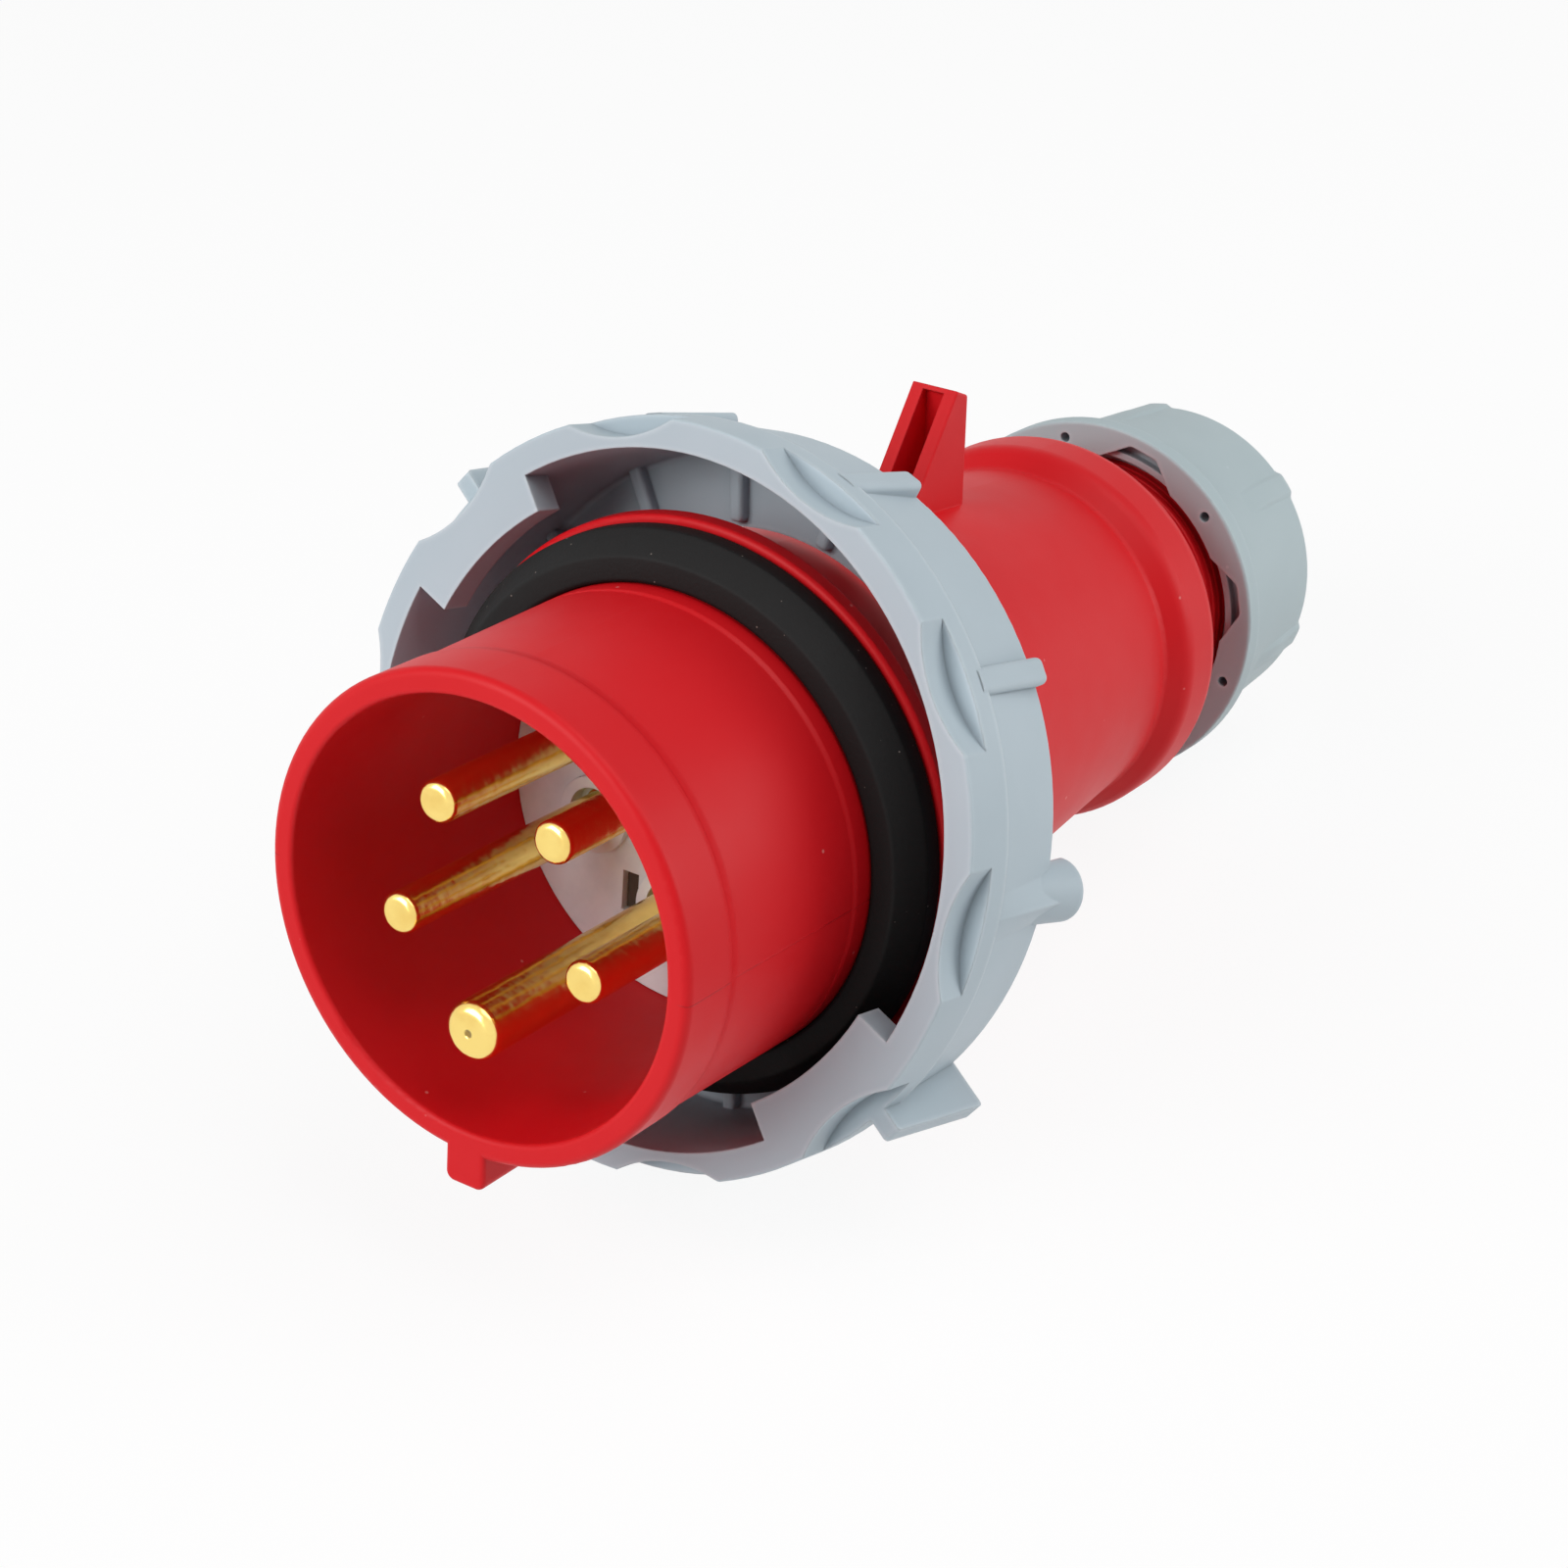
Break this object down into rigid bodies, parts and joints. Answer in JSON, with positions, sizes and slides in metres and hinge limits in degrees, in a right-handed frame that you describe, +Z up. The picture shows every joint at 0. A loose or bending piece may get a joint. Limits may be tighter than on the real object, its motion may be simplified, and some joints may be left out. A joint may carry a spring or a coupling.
{
  "type": "round industrial power plug",
  "caption": "Watertight round industrial plug with a pin collar, face gasket, loose bayonet locking ring, tapered rear housing and cable gland nut.",
  "frame": {"origin": "bottom centre of the bounding box, on the surface that the plug lies on", "axes": "+X towards the cable end, along the plug as seen from above; +Z up; the pins point to -X"},
  "size_m": [0.1704, 0.0903, 0.0884],
  "materials": {
    "red_shell": "moulded, semi-gloss",
    "insert_moulding": "moulded, satin",
    "slide_moulding": "moulded, matt",
    "gasket_rubber": "matt, speckled",
    "cage_moulding": "moulded, satin",
    "ring_grey": "moulded, satin",
    "nut_grey": "moulded, satin",
    "pin_brass": "turned and polished",
    "plated_steel": "zinc plated"
  },
  "bodies": {
    "plug": {"collar_shell": "red_shell", "contact_insert": "insert_moulding", "contact_retainer": "insert_moulding", "retainer_screw": "plated_steel", "lock_slide": "slide_moulding", "face_gasket": "gasket_rubber", "housing_seal": "gasket_rubber", "rear_housing": "red_shell", "gland_seal": "gasket_rubber", "clamp_cage": "cage_moulding", "earth_pin": "pin_brass", "phase_pin_1": "pin_brass", "phase_pin_2": "pin_brass", "phase_pin_3": "pin_brass", "neutral_pin": "pin_brass", "earth_terminal_screw": "plated_steel", "phase_terminal_screw_1": "plated_steel", "phase_terminal_screw_2": "plated_steel", "phase_terminal_screw_3": "plated_steel", "neutral_terminal_screw": "plated_steel"},
    "ring": {"locking_ring": "ring_grey"},
    "gland_press": {"slip_washer": "cage_moulding"},
    "nut": {"gland_nut": "nut_grey"}
  },
  "joints": [
    {"name": "ring_turn", "type": "hinge", "parent": "plug", "child": "ring", "pos_m": [-0.03063, 0.00015, 0.04086], "axis": [0.9447, -0.0609, -0.3222], "continuous": true},
    {"name": "gland_travel", "type": "slide", "parent": "plug", "child": "gland_press", "axis": [-0.9863, 0, 0.1651], "range_m": [0, 0.0045]},
    {"name": "nut_turn", "type": "hinge", "parent": "gland_press", "child": "nut", "pos_m": [0.06854, 0.00015, 0.02426], "axis": [-0.9863, 0, 0.1651], "range_deg": [0, 540]}
  ],
  "couplings": [
    {"joint": "gland_travel", "follows": "nut_turn", "m_per_rad": 0.000477}
  ]
}
